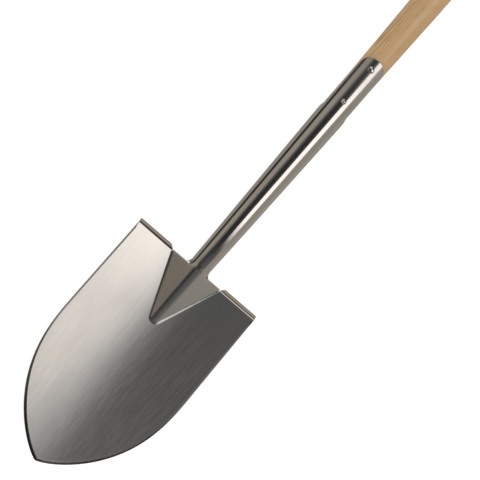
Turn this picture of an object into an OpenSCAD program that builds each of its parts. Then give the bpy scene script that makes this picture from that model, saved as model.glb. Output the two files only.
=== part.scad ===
// Garden spade: pressed stainless blade with a raised V neck and folded treads, a welded
// strapped socket riveted to a tapered ash shaft, and a turned T-grip.
// X runs along the shaft towards the grip, Y is across the blade, +Z is the hollow (front)
// side. The spade lies on its back, so Z = 0 is the surface under its treads.

/* [Blade] */
// Length from the tip to the tread fold
blade_len = 294; // [240:1:340]
// Greatest width of the blade
blade_w = 183.5; // [140:0.5:220]
// Width of the blade at the treads
top_w = 179.5; // [140:0.5:220]
// Length of the curved point, from the tip to the widest place
point_len = 165; // [120:1:200]
// Thickness of the stainless sheet
sheet = 2; // [1.5:0.1:2.5]
// Radius of the hollow across the blade
dish_r = 285; // [220:5:600]
// Angle of the blade to the shaft at the treads
lift = 3; // [0:0.5:8]
// Radius of the hollow along the blade
sweep_r = 1800; // [1200:50:6000]

/* [Treads] */
// Depth of the straight part of the folded tread
tread_depth = 10.5; // [8:0.5:16]
// Angle that the tread is folded back through, from the shaft's direction
tread_fold = 72; // [60:1:88]
// Outside radius of the fold
fold_r = 3.5; // [3:0.1:5]
// How far the tread's inner end slants away from the neck
tread_slant = 5; // [0:0.5:12]

/* [Neck] */
// Half width of the raised V where it meets the treads
neck_half_w = 36.6; // [30:0.1:40]
// Length of the raised V, from its nose to the tread fold
v_len = 80.5; // [60:0.5:110]
// Slope of the V's two faces
face_slope = 31; // [26:0.5:36]
// Outside radius of the socket where it leaves the blade
neck_r = 13.3; // [12:0.1:15]
// Radius on which the socket bends back into the blade
crank_r = 810; // [700:10:2000]

/* [Socket] */
// Length of the closed socket, from its datum to the shoulder
closed_len = 214; // [180:1:240]
// Where the two straps end
strap_end = 300.5; // [280:0.5:330]
// Half width of each strap
strap_half_w = 16.2; // [14:0.1:17]
// Half the gap that each seam weld fills
seam_half = 0.75; // [0.5:0.05:1]
// Place of the lower rivet
lower_rivet_x = 237.5; // [230:0.5:245]
// Place of the upper rivet
upper_rivet_x = 287; // [270:0.5:290]
// Radius of the rivets' shanks
rivet_r = 2.5; // [2:0.1:3]

/* [Shaft and grip] */
// Radius of the shaft's cone at the socket's datum
cone_r0 = 11.9; // [11:0.1:12.5]
// Where the shaft's cone ends and its straight part begins
cone_end = 393; // [380:1:400]
// Radius of the shaft's straight part
shaft_r = 19; // [18:0.1:20]
// Length of the shaft's straight part
straight_len = 80; // [60:1:120]
// Radius of the shaft under the grip
shaft_top_r = 15; // [14:0.1:16]
// Place of the grip's centre line
grip_x = 790; // [650:1:900]
// Length of the grip
grip_len = 145; // [120:1:160]
// Radius of the grip at its middle
grip_r = 17.5; // [17:0.1:20]
// Radius of the grip near its ends
grip_end_r = 15; // [13:0.1:17]
// Radius of the shaft's tenon
tenon_r = 10.5; // [9:0.1:12]

/* [Hidden] */
$fn = 64;

steel_colour = [0.80, 0.78, 0.75];
weld_colour = [0.70, 0.69, 0.68];
rivet_colour = [0.88, 0.87, 0.86];
ash_colour = [0.80, 0.66, 0.46];
wedge_colour = [0.45, 0.27, 0.15];

fold_x = -30;
notch_x = fold_x + 1.8;
round_x = -16;
bend_x = 60;
tip_x = fold_x - blade_len;
nose_x = fold_x - v_len;
blunt = 0.5;
clear = 0.1;
taper = (shaft_r - cone_r0) / cone_end;

// How full the curved point is along the blade and across it
point_power = 2.4;
point_round = 0.8;

// The V's nose is a half ellipse that the two straight sides leave
nose_len = 5;
nose_half_w = 4;
nose_crest_r = 5;
side_slope = (neck_half_w - nose_half_w) / v_len;

// The scooped notch between the treads and the socket
notch_power = 4;

// The shoulder where the closed socket ends, and the straps' rounded ends
shoulder_len = 12;
arch_len = 17.5;
arch_power = 2.7;

// The plate that closes the back of the V
plate_lip = 5;
plate_in_x = -24;
plate_flat_x = -50;
plate_nose_x = nose_x + 6;
plate_nose_len = 15;
thinning = 15;

function mix(a, b, u) = a + (b - a) * u;
function clamp01(u) = min(1, max(0, u));
function ease(u) = let (c = clamp01(u)) c * c * (3 - 2 * c);

// Blade: half width at x, and the hollow's front surface, or a surface `deep` behind it
function blade_half(x) = let (u = x - tip_x)
    u < point_len
        ? blade_w / 2 * pow(1 - pow(1 - u / point_len, point_power), point_round)
        : blade_w / 2 - (blade_w - top_w) / 2 * (u - point_len) / (blade_len - point_len);
function dish(y, deep) = let (r = dish_r + deep) r - sqrt(r * r - y * y) - deep;
function spine(x) = heel_z + (fold_x - x) * tan(lift) + pow(fold_x - x, 2) / (2 * sweep_r);
function hollow(x, y, deep) = spine(x) + dish(y, deep);

// Socket: centre line and outside radius
function axis_z(x) = x < bend_x ? -pow(bend_x - x, 2) / (2 * crank_r) : 0;
function cone(x) = cone_r0 + taper * x;
function socket_r(x) = x < bend_x
    ? mix(neck_r, cone(bend_x) + clear + sheet, (x - fold_x) / (bend_x - fold_x))
    : cone(x) + clear + sheet;

// Raised V: half width and crest radius at x, with its faces tangent to the socket's round
function v_half(x) = let (a = x - nose_x)
    side_slope * a + nose_half_w * sqrt(1 - pow(1 - min(a, nose_len) / nose_len, 2));
function crest_r(x) = mix(nose_crest_r, neck_r, (x - nose_x) / v_len);
heel_z = axis_z(fold_x) + neck_r / cos(face_slope) - neck_half_w * tan(face_slope)
    - dish(neck_half_w, 0);

// One side of a section has columns 0 (crest) to LAST (rim). ARC ends the crest's round,
// INNER the part of a face that runs into the socket, FOOT the whole face.
ARC = 4;
INNER = 10;
FOOT = 12;
LAST = 18;
arc_share = face_slope / (90 - asin(seam_half / neck_r));
notch_reach = 0.37;

// Half width of the columns ahead of the V, and where the wings start there and beside the V
flat_half = 2.8;
wing_start = 4;
foot_gap = 1;

function crest_centre(x) = hollow(x, v_half(x), 0) + v_half(x) * tan(face_slope)
    - crest_r(x) / cos(face_slope);
function arc_point(r, centre, angle) = [r * sin(angle), centre + r * cos(angle)];
function face_reach(j) = j <= INNER ? notch_reach * (j - ARC) / (INNER - ARC)
    : mix(notch_reach, 1, (j - INNER) / (FOOT - INNER));

// Sheet section through the V, `deep` behind its front surface
function v_point(x, j, deep) =
    let (r = crest_r(x) - deep, c = crest_centre(x), e = arc_point(r, c, face_slope),
         foot = [v_half(x) - deep * tan(face_slope / 2), hollow(x, v_half(x), 0) - deep])
    j <= ARC ? arc_point(r, c, face_slope * j / ARC) : mix(e, foot, face_reach(j));
function flat_point(x, j, deep) =
    let (y = min(flat_half, blade_half(x) / 3) * j / FOOT) [y, hollow(x, y, deep)];
function wing_point(x, j, deep) =
    let (inner = x > nose_x ? v_half(x) + foot_gap : min(wing_start, blade_half(x) / 2),
         y = mix(inner, blade_half(x), (j - FOOT - 1) / (LAST - FOOT - 1)))
    [y, hollow(x, y, deep)];
function blade_point(x, j, deep) =
    let (p = j > FOOT ? wing_point(x, j, deep)
            : x > nose_x ? v_point(x, j, deep) : flat_point(x, j, deep))
    [x, p[0], p[1]];

// Straps: half width at x, past the shoulder where the closed socket ends, and round the end
function strap_edge(x) = x < strap_end - arch_len
    ? mix(socket_r(x), strap_half_w, ease((x - closed_len) / shoulder_len))
    : strap_half_w * pow(1 - pow((x - strap_end + arch_len) / arch_len, arch_power), 1 / arch_power);
function edge_angle(x, r) =
    min(90 - asin(seam_half / r), asin(min(1, strap_edge(x) / socket_r(x))));

// Front half of the socket, and the notch's run from the V's faces into it
function notch_run(x) = 1 - pow(1 - clamp01((x - notch_x) / (round_x - notch_x)), notch_power);
function half_point(x, j, deep) =
    let (r = socket_r(x) - deep, share = j <= ARC ? arc_share * j / ARC
            : mix(arc_share, 1, (j - ARC) / (INNER - ARC)),
         p = arc_point(r, axis_z(x), edge_angle(x, r) * share))
    [x, p[0], p[1]];
function neck_point(x, j, deep) =
    let (u = notch_run(x), a = v_point(x, j, deep), b = half_point(x, j, deep))
    x >= round_x ? b : [x, mix(a[0], b[1], u), mix(a[1], b[2], u)];

// Slanted inner end of the tread: a quarter of the slant is in the fold
function tread_shift(y, row) =
    let (start = wing_point(fold_x, FOOT + 1, 0)[0], half = blade_half(fold_x))
    tread_slant * (row > 3 ? 1 : row / 12) * (half - y) / (half - start);

// Tread: the sheet past the fold, where `row` counts 1 to 3 round the fold and 4 is its edge
function tread_point(j, row, deep) =
    let (p = wing_point(fold_x, j, 0), turn = mix(lift, tread_fold, min(row, 3) / 3),
         r = fold_r - deep, run = row > 3 ? tread_depth : 0)
    [fold_x - fold_r * sin(lift) + r * sin(turn) + run * cos(turn), p[0] + tread_shift(p[0], row),
     p[1] - fold_r * cos(lift) + r * cos(turn) - run * sin(turn)];

blade_rows = concat(
    [for (u = [blunt, 4, 9, 15, 23, 33, 45, 60, 78, 98, 120, 143, point_len, point_len + 26])
        tip_x + u],
    [for (a = [0, 1, 3.5, 7, 12, 20, 32, 44, 56, 68]) nose_x + a],
    [fold_x]);
strap_rows = concat(
    [for (u = [0, 0.15, 0.3, 0.5, 0.7, 0.85, 1]) closed_len + shoulder_len * u],
    [strap_end - arch_len],
    [for (a = [20, 35, 50, 62, 72, 80, 86]) strap_end - arch_len + arch_len * sin(a)]);
neck_rows = concat(
    [notch_x],
    [for (u = [0.08, 0.18, 0.32, 0.5, 0.72, 1]) mix(notch_x, round_x, u)],
    [for (u = [0.16, 0.32, 0.49, 0.66, 0.83, 1]) mix(round_x, bend_x, u)],
    strap_rows);
FOLD = len(blade_rows) - 1;
TREAD_ROWS = 4;

function sheet_point(i, j, deep) =
    i <= FOLD ? blade_point(blade_rows[i], j, deep)
    : j > FOOT ? tread_point(j, min(i - FOLD, TREAD_ROWS), deep)
    : i == FOLD + 1 ? blade_point(notch_x, j, deep)
    : neck_point(neck_rows[i - FOLD - 1], min(j, INNER), deep);

// Which cells of the grid are sheet: m counts them from the crest outwards
function is_sheet(i, m) = i < FOLD
    || (i == FOLD && (m <= FOOT || m >= FOOT + 2))
    || (i > FOLD && m <= INNER)
    || (i > FOLD && m >= FOOT + 2 && i < FOLD + TREAD_ROWS);

// Closed solid between a front and a back grid of the same size, with only the cells of `on`
module slab(front, back, on) {
    rows = len(front);
    cols = len(front[0]);
    size = rows * cols;
    function at(i, c) = i * cols + c;
    function live(i, c) = i >= 0 && c >= 0 && i < rows - 1 && c < cols - 1 && on[i][c];
    function wall(a, b) = [[a, b, b + size], [a, b + size, a + size]];
    cells = [for (i = [0:rows - 2]) for (c = [0:cols - 2]) if (on[i][c]) [i, c]];
    faces = concat(
        [for (q = cells) let (a = at(q[0], q[1]), b = a + cols)
            each [[a, a + 1, b + 1], [a, b + 1, b],
                  [a + size, b + 1 + size, a + 1 + size], [a + size, b + size, b + 1 + size]]],
        [for (q = cells) let (i = q[0], c = q[1]) each concat(
            live(i - 1, c) ? [] : wall(at(i, c + 1), at(i, c)),
            live(i + 1, c) ? [] : wall(at(i + 1, c), at(i + 1, c + 1)),
            live(i, c - 1) ? [] : wall(at(i, c), at(i + 1, c)),
            live(i, c + 1) ? [] : wall(at(i + 1, c + 1), at(i, c + 1)))]);
    polyhedron(concat([for (r = front) each r], [for (r = back) each r]), faces);
}

function mirrored(p) = [p[0], -p[1], p[2]];
function both_sides(half) =
    concat([for (k = [len(half) - 1:-1:1]) mirrored(half[k])], half);

module pressed_sheet() {
    rows = FOLD + 1 + len(neck_rows);
    front = [for (i = [0:rows - 1]) both_sides([for (j = [0:LAST]) sheet_point(i, j, 0)])];
    back = [for (i = [0:rows - 1]) both_sides([for (j = [0:LAST]) sheet_point(i, j, sheet)])];
    on = [for (i = [0:rows - 2]) [for (c = [0:2 * LAST - 1])
        is_sheet(i, c < LAST ? LAST - c : c - LAST + 1)]];
    slab(front, back, on);
}

// Round solid about the shaft's axis, from [x, r] pairs
module turned(profile) {
    rotate([0, 90, 0])
        rotate_extrude()
            polygon([for (p = profile) [p[1], p[0]]]);
}

module rivet_hole(x) {
    translate([x, 0, -2 * shaft_r])
        cylinder(h = 4 * shaft_r, r = rivet_r + fit);
}

// Rear: half round along the socket, then a flat plate behind the V. Its edges stay just
// under the front sheet between the notch and the plate.
function plate_side(x) = side_slope * (x - nose_x) + nose_half_w + plate_lip;
function plate_half(x) = x > plate_nose_x ? plate_side(x)
    : plate_side(plate_nose_x) * sqrt(1 - pow((plate_nose_x - x) / plate_nose_len, 2));
function under_front(x, y) =
    let (foot = v_point(x, FOOT, sheet))
    x > nose_x + 1 && y < foot[0] ? foot[1] + (foot[0] - y) * tan(face_slope) : hollow(x, y, sheet);
function rear_edge_z(x, y, flat) =
    let (u = x > notch_x ? notch_run(x) : 0)
    mix(under_front(min(x, notch_x), y) - clear - flat, axis_z(x) - seam_half, u);
function rear_point(x, v, deep) =
    let (u = ease((plate_in_x - x) / (plate_in_x - plate_flat_x)),
         r = socket_r(x) - deep, last = edge_angle(x, r),
         edge_y = mix(r * sin(last), plate_half(x), u),
         flat = (sheet - deep) * ease((plate_in_x - x) / thinning),
         edge_z = x < round_x ? rear_edge_z(x, edge_y, flat) : axis_z(x) - r * cos(last),
         middle = mix(axis_z(x) - r, hollow(x, 0, sheet) - clear - sheet + deep, u))
    [x, edge_y * mix(sin(last * v) / sin(last), v, u),
     mix(middle, edge_z, mix((1 - cos(last * v)) / (1 - cos(last)), v * v, u))];
rear_rows = concat(
    [for (a = [80, 65, 50, 35, 18, 0]) plate_nose_x - plate_nose_len * sin(a)],
    [for (a = [14, 24, 34, 44, 54]) nose_x + a],
    [for (u = [0:0.1:1]) mix(plate_flat_x, plate_in_x, u)],
    [for (u = [0.5, 0.75, 1]) mix(notch_x, round_x, u)],
    [for (u = [0.2, 0.4, 0.6, 0.8, 1]) mix(round_x, bend_x, u)],
    strap_rows);
REAR_COLS = 18;

module rear_sheet() {
    outer = [for (x = rear_rows) [for (c = [0:REAR_COLS]) rear_point(x, 2 * c / REAR_COLS - 1, 0)]];
    inner = [for (x = rear_rows)
        [for (c = [0:REAR_COLS]) rear_point(x, 2 * c / REAR_COLS - 1, sheet)]];
    slab(inner, outer, [for (x = rear_rows) [for (c = [1:REAR_COLS]) true]]);
}

// Closed tube through rings of points
module swept(rings) {
    n = len(rings[0]);
    last = (len(rings) - 1) * n;
    polyhedron([for (r = rings) each r], concat(
        [[for (k = [0:n - 1]) k]],
        [for (i = [0:len(rings) - 2]) for (k = [0:n - 1])
            let (a = i * n + k, b = i * n + (k + 1) % n) each [[a, a + n, b + n], [a, b + n, b]]],
        [[for (k = [n - 1:-1:0]) last + k]]));
}

// Weld bead that fills one side seam, a little proud of the socket
weld_proud = 0.25;
weld_inset = 0.1;
weld_half = seam_half - 0.01;
seam_rows = concat([for (u = [0:0.125:1]) mix(round_x, bend_x, u)], [closed_len]);

module seam_weld() {
    swept([for (x = seam_rows) let (z = axis_z(x), r = socket_r(x))
        [[x, r - sheet, z - weld_half], [x, r - weld_inset, z - weld_half], [x, r + weld_proud, z],
         [x, r - weld_inset, z + weld_half], [x, r - sheet, z + weld_half]]]);
}

// Weld bead round the plate's edge on the back of the blade
bead_r = 1.2;
bead_sides = 6;
bead_gap = 0.15;
bead_rows = [for (u = [0:0.1:1]) mix(plate_flat_x, plate_nose_x, u)];

function bead_point(x, y) = [x, y, hollow(x, y, sheet) - bead_r - bead_gap];
function bead_y(x) = plate_half(x) + bead_r + bead_gap;
function unit(v) = v / norm(v);
function bead_ring(centre, along) = [for (k = [0:bead_sides - 1])
    let (a = 360 * k / bead_sides) centre + bead_r * [-along[1] * cos(a), along[0] * cos(a), sin(a)]];

module tail_bead() {
    reach = plate_nose_len + bead_r + bead_gap;
    path = concat(
        [for (x = bead_rows) bead_point(x, bead_y(x))],
        [for (a = [75:-15:-75])
            bead_point(plate_nose_x - reach * cos(a), bead_y(plate_nose_x) * sin(a))],
        [for (k = [len(bead_rows) - 1:-1:0]) bead_point(bead_rows[k], -bead_y(bead_rows[k]))]);
    n = len(path);
    swept([for (i = [0:n - 1])
        bead_ring(path[i], unit(path[min(i + 1, n - 1)] - path[max(i - 1, 0)]))]);
}

// Rivet through both straps, with a head on each
lower_head_r = 3.4;
lower_head_h = 1;
upper_head_r = 4.2;
upper_head_h = 1.9;

module rivet(x, head_r, head_h) {
    top = socket_r(x);
    ball = (head_r * head_r + head_h * head_h) / (2 * head_h);
    difference() {
        for (side = [-1, 1])
            intersection() {
                translate([x, 0, side * (top + head_h - ball)])
                    sphere(r = ball);
                translate([x, 0, side > 0 ? 0 : -2 * shaft_r])
                    cylinder(h = 2 * shaft_r, r = head_r);
            }
        turned([[x - shaft_r, 0], [x - shaft_r, socket_r(x - shaft_r) + fit],
                [x + shaft_r, socket_r(x + shaft_r) + fit], [x + shaft_r, 0]]);
    }
    translate([x, 0, -top - head_h / 2])
        cylinder(h = 2 * top + head_h, r = rivet_r);
}

// Grip: a turned bar across the shaft
function grip_radius(y) = mix(grip_r, grip_end_r, pow(abs(y) / (grip_len / 2), 2));
grip_round = 9;
grip_flat = grip_len / 2 - grip_round;

function grip_end(a, extra) = [grip_radius(grip_flat) - grip_round + (grip_round + extra) * cos(a),
    grip_flat + (grip_round + extra) * sin(a)];

module grip_bar(extra) {
    half = concat(
        [for (u = [0:0.2:0.81]) [grip_radius(grip_flat * u) + extra, grip_flat * u]],
        [for (a = [0:20:80]) grip_end(a, extra)],
        [[0, grip_len / 2 + extra]]);
    translate([grip_x, 0, 0])
        rotate([90, 0, 0])
            rotate_extrude()
                polygon(concat(
                    [for (k = [len(half) - 1:-1:1]) [half[k][0], -half[k][1]]],
                    half));
}

// The joint of shaft and grip: seat, tenon, wedge and pin, each cut a little oversize
seat_x = grip_x - sqrt(grip_r * grip_r - shaft_top_r * shaft_top_r);
fit = 0.02;
past = 30;
wedge_x = grip_x + 2;
wedge_end = grip_x + 25;
wedge_thin = 0.8;
wedge_w = 3.2;
wedge_half = tenon_r - 0.8;
pin_x = grip_x - 4.5;
pin_r = 2.5;
end_proud = 0.2;

module tenon_block(grow) {
    turned([[seat_x - 1, 0], [seat_x - 1, tenon_r + grow], [grip_x + past, tenon_r + grow],
            [grip_x + past, 0]]);
}

module wedge_block(grow) {
    translate([0, wedge_half, 0])
        rotate([90, 0, 0])
            linear_extrude(2 * wedge_half)
                polygon([[wedge_x, -wedge_thin / 2 - grow], [wedge_end, -wedge_w / 2 - grow],
                         [wedge_end, wedge_w / 2 + grow], [wedge_x, wedge_thin / 2 + grow]]);
}

module pin_block(grow) {
    translate([pin_x, 0, -past])
        cylinder(h = 2 * past, r = pin_r + grow);
}

// The shaft's lower end, inside the socket
shaft_x = bend_x + 2;
shaft_chamfer = 1.5;

// Frame: the middle of the length, and the surface that the treads lie on
tread_low = tread_point(FOOT + 1, TREAD_ROWS, sheet)[2];
top_x = grip_x + grip_r;
module place() {
    translate([-(tip_x + top_x) / 2, 0, -tread_low])
        children();
}

module blade() {
    color(steel_colour)
        place()
            difference() {
                pressed_sheet();
                rivet_hole(lower_rivet_x);
                rivet_hole(upper_rivet_x);
            }
}

module rear_socket() {
    color(steel_colour)
        place()
            difference() {
                rear_sheet();
                rivet_hole(lower_rivet_x);
                rivet_hole(upper_rivet_x);
            }
}

module left_seam_weld() {
    color(weld_colour)
        place()
            seam_weld();
}

module right_seam_weld() {
    color(weld_colour)
        place()
            mirror([0, 1, 0])
                seam_weld();
}

module tail_weld() {
    color(weld_colour)
        place()
            tail_bead();
}

module lower_rivet() {
    color(rivet_colour)
        place()
            rivet(lower_rivet_x, lower_head_r, lower_head_h);
}

module upper_rivet() {
    color(rivet_colour)
        place()
            rivet(upper_rivet_x, upper_head_r, upper_head_h);
}

module ash_shaft() {
    color(ash_colour)
        place()
            difference() {
                union() {
                    turned([[shaft_x, 0], [shaft_x, cone(shaft_x) - shaft_chamfer],
                            [shaft_x + shaft_chamfer, cone(shaft_x + shaft_chamfer)],
                            [cone_end, shaft_r],
                            [cone_end + straight_len, shaft_r], [seat_x, shaft_top_r], [seat_x, 0]]);
                    intersection() {
                        tenon_block(0);
                        grip_bar(-clear);
                    }
                }
                rivet_hole(lower_rivet_x);
                rivet_hole(upper_rivet_x);
                wedge_block(fit);
                pin_block(fit);
            }
}

module t_grip() {
    color(ash_colour)
        place()
            difference() {
                grip_bar(0);
                turned([[grip_x - past, 0], [grip_x - past, shaft_top_r + clear],
                        [seat_x, shaft_top_r + clear], [seat_x, 0]]);
                tenon_block(fit);
                pin_block(fit);
            }
}

module tenon_wedge() {
    color(wedge_colour)
        place()
            intersection() {
                wedge_block(0);
                grip_bar(end_proud);
            }
}

module grip_pin() {
    color(rivet_colour)
        place()
            intersection() {
                pin_block(0);
                grip_bar(end_proud);
            }
}

blade();
rear_socket();
left_seam_weld();
right_seam_weld();
tail_weld();
lower_rivet();
upper_rivet();
ash_shaft();
t_grip();
tenon_wedge();
grip_pin();
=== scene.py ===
"""Looks of the garden spade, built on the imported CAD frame."""
import math

import bpy
import bmesh
import numpy as np
from mathutils import Matrix, Vector


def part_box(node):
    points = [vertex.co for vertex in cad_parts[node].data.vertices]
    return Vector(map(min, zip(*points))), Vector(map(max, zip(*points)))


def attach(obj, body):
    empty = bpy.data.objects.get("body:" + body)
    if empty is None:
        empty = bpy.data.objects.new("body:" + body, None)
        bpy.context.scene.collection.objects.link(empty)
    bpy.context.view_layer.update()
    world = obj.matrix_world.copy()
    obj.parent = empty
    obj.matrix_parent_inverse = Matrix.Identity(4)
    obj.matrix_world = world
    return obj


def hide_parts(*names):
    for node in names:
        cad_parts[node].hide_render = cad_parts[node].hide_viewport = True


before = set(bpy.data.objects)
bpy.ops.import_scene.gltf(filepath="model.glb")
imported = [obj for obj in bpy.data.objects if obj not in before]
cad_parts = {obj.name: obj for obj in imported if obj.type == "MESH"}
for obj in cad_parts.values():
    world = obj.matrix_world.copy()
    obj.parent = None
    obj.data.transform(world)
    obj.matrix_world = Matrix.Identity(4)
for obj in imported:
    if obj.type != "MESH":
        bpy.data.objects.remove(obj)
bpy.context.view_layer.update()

MM = 0.001
rad = math.radians


# ---------------------------------------------------------------- shape of the spade
# Tool frame in mm: X along the shaft with its datum in the socket, Z = 0 on the shaft's axis.
# The sheet, the gap between fitted pieces, and how blunt the tip is
SHEET, CLEAR, BLUNT = 2.0, 0.1, 0.5

# Blade: outline and hollow
BLADE_LEN, BLADE_W, TOP_W = 294.0, 183.5, 179.5
POINT_LEN, POINT_POWER, POINT_ROUND = 165.0, 2.4, 0.8
DISH_R, LIFT, SWEEP_R = 285.0, rad(3), 1800.0

# Treads
FOLD_R, TREAD_DEPTH, TREAD_FOLD, TREAD_SLANT = 3.5, 10.5, rad(72), 5.0

# Raised V, its nose, and the neck that it runs into
NECK_HALF, V_LEN, SLOPE, NECK_R = 36.6, 80.5, rad(31), 13.3
NOSE_R, NOSE_LEN, NOSE_HALF, NOSE_FALL, FACE_BLEND = 11.0, 5.0, 4.0, 2.5, 1.6
SIDE_SLOPE = (NECK_HALF - NOSE_HALF) / V_LEN
CRANK_R, NOTCH_POWER = 810.0, 4

# Places along the spade
FOLD_X, NOTCH_X, ROUND_X, BEND_X = -30.0, -28.2, -16.0, 60.0
TIP_X, NOSE_X = FOLD_X - BLADE_LEN, FOLD_X - V_LEN

# Socket, straps, seams and rivets
CLOSED_LEN, SHOULDER, STRAP_END, STRAP_HALF = 214.0, 12.0, 300.5, 16.2
ARCH_LEN, ARCH_POWER = 17.5, 2.7
SEAM_HALF, RIVET_R, LOWER_RIVET_X, UPPER_RIVET_X = 0.75, 2.5, 237.5, 287.0

# Plate that closes the back of the V
PLATE_LIP, PLATE_IN, PLATE_FLAT, THINNING = 5.0, -24.0, -50.0, 15.0
PLATE_NOSE, PLATE_NOSE_LEN = NOSE_X + 6, 15.0

# Shaft, grip, tenon and pin
CONE_R0, CONE_END, SHAFT_R, STRAIGHT_LEN, SHAFT_TOP_R = 11.9, 393.0, 19.0, 80.0, 15.0
TAPER = (SHAFT_R - CONE_R0) / CONE_END
GRIP_X, GRIP_LEN, GRIP_R, GRIP_END_R, GRIP_ROUND = 790.0, 145.0, 17.5, 15.0, 9.0
TENON_R, PIN_R, PIN_BACK = 10.5, 2.5, 4.5

# The tool frame's place in the library frame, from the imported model
shaft_lo, shaft_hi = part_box("ash_shaft")
SHIFT_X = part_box("blade")[0].x / MM - (TIP_X + BLUNT)
SHIFT_Z = (shaft_lo.z + shaft_hi.z) / 2 / MM


def mix(a, b, u):
    return a + (b - a) * u


def ease(u):
    c = np.clip(u, 0, 1)
    return c * c * (3 - 2 * c)


def root(v):
    return np.sqrt(np.maximum(v, 0))


def blade_half(x):
    u = np.clip((x - TIP_X) / POINT_LEN, 0, 1)
    point = BLADE_W / 2 * (1 - (1 - u) ** POINT_POWER) ** POINT_ROUND
    beyond = np.maximum(x - TIP_X - POINT_LEN, 0) / (BLADE_LEN - POINT_LEN)
    return point - (BLADE_W - TOP_W) / 2 * beyond


def dish(y, deep=0.0):
    r = DISH_R + deep
    return r - np.sqrt(r * r - y * y) - deep


def axis_z(x):
    return -np.maximum(BEND_X - x, 0) ** 2 / (2 * CRANK_R)


HEEL_Z = float(axis_z(FOLD_X) + NECK_R / math.cos(SLOPE) - NECK_HALF * math.tan(SLOPE)
               - dish(NECK_HALF))


def spine(x):
    return HEEL_Z + (FOLD_X - x) * math.tan(LIFT) + (FOLD_X - x) ** 2 / (2 * SWEEP_R)


def hollow(x, y, deep=0.0):
    return spine(x) + dish(y, deep)


def cone(x):
    return CONE_R0 + TAPER * x


def socket_r(x):
    end = cone(BEND_X) + CLEAR + SHEET
    bent = mix(NECK_R, end, (x - FOLD_X) / (BEND_X - FOLD_X))
    return np.where(x < BEND_X, bent, cone(x) + CLEAR + SHEET)


def v_half(x):
    """Half width of the raised V, which goes below zero ahead of its nose."""
    a = x - NOSE_X
    round_end = NOSE_HALF * root(1 - (1 - np.clip(a, 0, NOSE_LEN) / NOSE_LEN) ** 2)
    return SIDE_SLOPE * a + round_end + NOSE_FALL * np.minimum(a, 0)


def crest_r(x):
    return mix(NOSE_R, NECK_R, (x - NOSE_X) / V_LEN)


def crest_centre(x):
    v = v_half(x)
    return hollow(x, np.maximum(v, 0)) + v * math.tan(SLOPE) - crest_r(x) / math.cos(SLOPE)


def roof(x, y):
    """The raised V on its own: a round crest and two flat faces."""
    r, c, w = crest_r(x), crest_centre(x), np.abs(y)
    edge = r * math.sin(SLOPE)
    return np.where(w < edge, c + root(r * r - w * w),
                    c + r * math.cos(SLOPE) - (w - edge) * math.tan(SLOPE))


def face(x, y):
    """Front of the blade: the hollow with the V raised out of it, filleted at its foot."""
    a, b = hollow(x, y), roof(x, y)
    h = np.maximum(FACE_BLEND - np.abs(a - b), 0) / FACE_BLEND
    return np.maximum(a, b) + h * h * FACE_BLEND / 4


def notch_run(x):
    s = np.clip((x - NOTCH_X) / (ROUND_X - NOTCH_X), 0, 1)
    return 1 - (1 - s) ** NOTCH_POWER


def strap_edge(x):
    side = mix(socket_r(x), STRAP_HALF, ease((x - CLOSED_LEN) / SHOULDER))
    u = np.clip((x - STRAP_END + ARCH_LEN) / ARCH_LEN, 0, 1)
    arch = STRAP_HALF * root(1 - u ** ARCH_POWER) ** (2 / ARCH_POWER)
    return np.where(x < STRAP_END - ARCH_LEN, side, arch)


def edge_angle(x):
    """Half the angle that the front or rear half of the socket spans."""
    r = socket_r(x)
    return np.minimum(math.pi / 2 - np.arcsin(SEAM_HALF / r),
                      np.arcsin(np.minimum(1, strap_edge(x) / r)))


# ---------------------------------------------------------------- mesh helpers
# Distance in metres under which points are joined, and the radius that closes a profile
MERGE = 2e-6
AXIS_GAP = 0.02
TINY = 1e-9
MIRROR = np.array([1, -1, 1])

# Rings round a sheet's rim: share of the way from front to back, and share of the bulge
RIM_RINGS = ((0.05, 0.55), (0.16, 0.9), (0.5, 1.0), (0.84, 0.9), (0.95, 0.55))
AXIS_ORDER = {"X": (0, 1, 2), "Y": (1, 0, 2), "Z": (1, 2, 0)}


def to_frame(points):
    """Library frame in metres from the tool frame in mm."""
    p = np.asarray(points, float)
    return (p + (SHIFT_X, 0, SHIFT_Z)) * MM


def new_object(name, points, faces, material, node, slot):
    mesh = bpy.data.meshes.new(name)
    mesh.from_pydata([tuple(p) for p in to_frame(points)], [], faces)
    mesh.materials.append(material)
    bm = bmesh.new()
    bm.from_mesh(mesh)
    bmesh.ops.remove_doubles(bm, verts=bm.verts, dist=MERGE)
    bmesh.ops.recalc_face_normals(bm, faces=bm.faces)
    bm.to_mesh(mesh)
    bm.free()
    for p in mesh.polygons:
        p.use_smooth = True
    obj = bpy.data.objects.new(name, mesh)
    bpy.context.scene.collection.objects.link(obj)
    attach(obj, "root")
    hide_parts(node)
    return obj


def sheet_faces(patches):
    """Quads of a sheet from patches of vertex numbers."""
    out = []
    for grid in patches:
        for a, b in zip(grid[:-1], grid[1:]):
            for k in range(len(a) - 1):
                quad = [a[k], a[k + 1], b[k + 1], b[k]]
                out.append([v for i, v in enumerate(quad) if v not in quad[:i]])
    return [f for f in out if len(f) > 2]


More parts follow.
